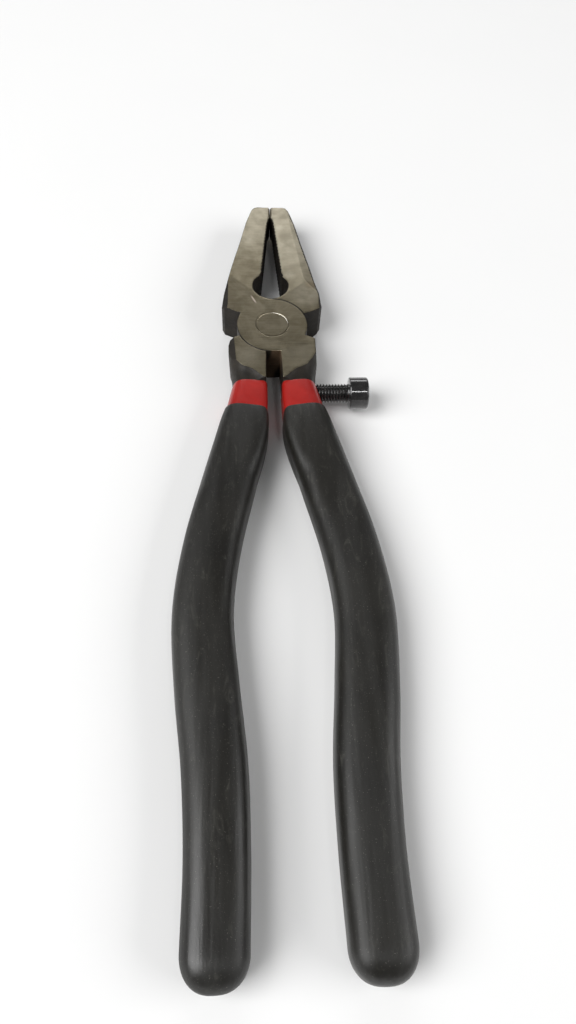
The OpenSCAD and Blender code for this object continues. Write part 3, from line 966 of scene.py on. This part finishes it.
def add_softbox(name, place, width, height, watts):
    data = bpy.data.lights.new(name, "AREA")
    data.shape = "RECTANGLE"
    data.size, data.size_y = width, height
    data.energy = watts
    light = bpy.data.objects.new(name, data)
    light.location = place
    light.rotation_euler = (Vector(LIT) - Vector(place)).to_track_quat("-Z", "Y").to_euler()
    bpy.context.scene.collection.objects.link(light)


def add_light():
    world = bpy.data.worlds.new("studio")
    bpy.context.scene.world = world
    world.use_nodes = True
    world.node_tree.nodes["Background"].inputs["Color"].default_value = colour(1.0, 1.0, 1.0)
    world.node_tree.nodes["Background"].inputs["Strength"].default_value = SKY
    for softbox in SOFTBOXES:
        add_softbox(*softbox)


# ---------------------------------------------------------------- the pliers

add_camera()
add_floor()
add_light()
bpy.context.scene.view_settings.view_transform = "Standard"

LIGHT = colour(0.44, 0.405, 0.320)
DARK = colour(0.10, 0.082, 0.050)
BROWN = colour(0.20, 0.135, 0.070)
FRONT_PATCHES = [
    ((-5.5, 34.5), 3.0, 0.3, LIGHT),
    # Painted shade: this darker patch on the left jaw's lower cheek
    ((-7.0, 21.0), 5.5, 0.25, DARK),
    ((7.0, -11.0), 6.0, 0.2, LIGHT),
]
# A pale streak on the left jaw, below and left of its hole
FRONT_LIGHT_STREAKS = [((-5.8, 11.4), (-4.0, 7.6), 0.6)]
BACK_PATCHES = [
    ((11.6, 15.2), 2.4, 0.5, BROWN),
    ((4.6, 36.5), 2.6, 0.35, DARK),
    ((3.6, 40.5), 2.2, 0.4, LIGHT),
    ((5.6, 19.5), 2.6, 0.4, LIGHT),
    ((10.0, 11.0), 6.0, 0.45, LIGHT),
    ((-6.5, -11.5), 6.0, 0.3, LIGHT),
]
# The front lever's painted highlight starts further along its jaw, which leaves the left jaw's lower part
# darker: painted shade
front_steel = lever_steel("front_lever_steel", 0.020, 0.048, FRONT_PATCHES, FRONT_LIGHT_STREAKS)
back_steel = lever_steel("back_lever_steel", 0.008, 0.032, BACK_PATCHES, [])
front = add_lever("front_lever_forging", "front_lever", front_lever_field, -JAW_LEAN, False, front_steel)
back = add_lever("back_lever_forging", "back_lever", back_lever_field, JAW_LEAN, True, back_steel)
rivet = add_rivet("rivet_flush", rivet_steel())

# A dip: where its edge and its end lie along the handle, how far it stands off the steel at the sides and on
# the faces, how thick the layer under it is, how much thinner it is at its edge, and how far that edge drops
# on the handle's inner and outer sides
RED_DIP = {
    "edge_y": -UNDER_DIP_Y,
    "end_y": -(HANDLE_LEN - OVER_DIP),
    "side": UNDER_DIP,
    "face": UNDER_DIP,
    "under": 0.0,
    "thin": 0.2,
    "inner_drop": 0.2,
    "outer_drop": 0.8,
}
BLACK_DIP = {
    "edge_y": -OVER_DIP_Y,
    "end_y": -HANDLE_LEN,
    "side": UNDER_DIP + OVER_DIP,
    "face": (HEAD_T - TANG_T) / 2,
    "under": UNDER_DIP,
    "thin": 0.4,
    "inner_drop": 1.6,
    "outer_drop": 0.4,
}

red = red_vinyl()
black = black_vinyl()
right_red = add_dip("right_red_dip", "right_under_dip", RED_DIP, False, red)
cut_round(right_red, SCREW_R + PIN_GAP + DIP_HOLE_GAP, *DIP_HOLE)
left_red = add_dip("left_red_dip", "left_under_dip", RED_DIP, True, red)
right_black = add_dip("right_black_dip", "right_grip", BLACK_DIP, False, black)
left_black = add_dip("left_black_dip", "left_grip", BLACK_DIP, True, black)
screw = add_screw("stop_screw_thread", screw_black())

PIECES = [
    (front, "front_half", "front_lever", "forged_steel"),
    (back, "back_half", "back_lever", "forged_steel"),
    (rivet, "front_half", "pivot_rivet", "rivet_steel"),
    (right_red, "front_half", "right_under_dip", "red_dip"),
    (left_red, "back_half", "left_under_dip", "red_dip"),
    (right_black, "front_half", "right_grip", "black_dip"),
    (left_black, "back_half", "left_grip", "black_dip"),
    (screw, "screw", "stop_screw", "black_oxide"),
]
for piece, body, node, slot in PIECES:
    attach(piece, body)
    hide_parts(node)
